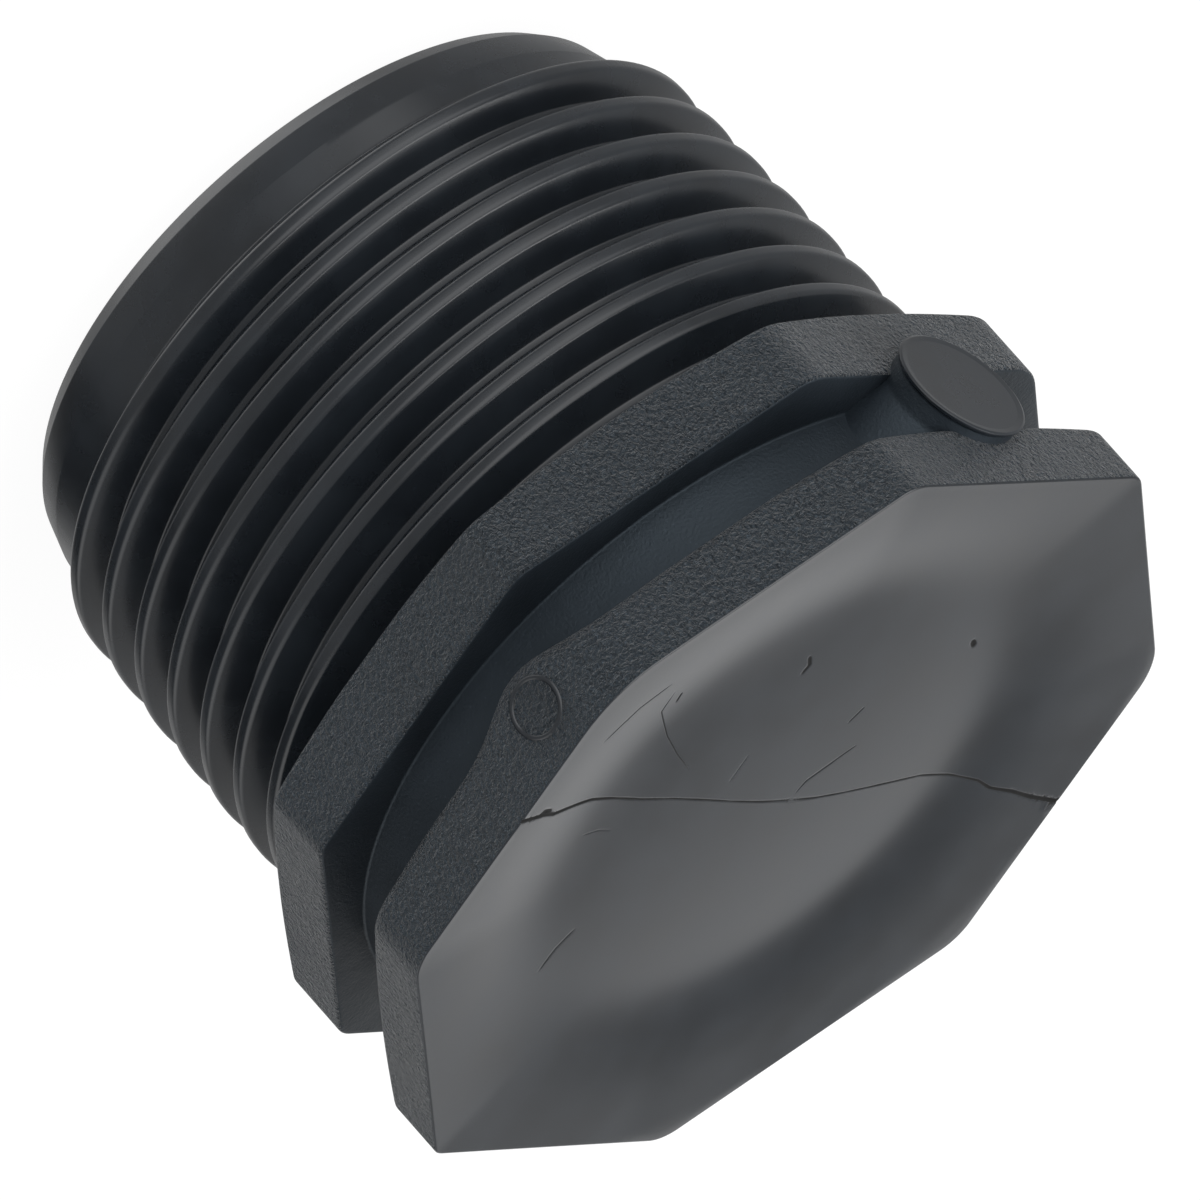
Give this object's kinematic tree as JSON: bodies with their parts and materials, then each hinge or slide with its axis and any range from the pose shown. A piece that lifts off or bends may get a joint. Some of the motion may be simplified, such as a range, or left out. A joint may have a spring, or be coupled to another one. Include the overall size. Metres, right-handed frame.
{
  "type": "threaded blanking plug",
  "caption": "Moulded plastic plug with an octagonal double-flange head, tapered outside thread and plain lead-in, for closing a threaded port.",
  "frame": {"origin": "on the plug's axis, in the plane of its tail rim", "axes": "+Z along the axis from the tail to the head; the flat with the gate post faces -X"},
  "size_m": [0.0367, 0.036, 0.031],
  "materials": {
    "plug_plastic": "black filled plastic, satin on the face and thread, finely pitted on the flats"
  },
  "bodies": {
    "root": {"blanking_plug": "plug_plastic"}
  },
  "joints": []
}
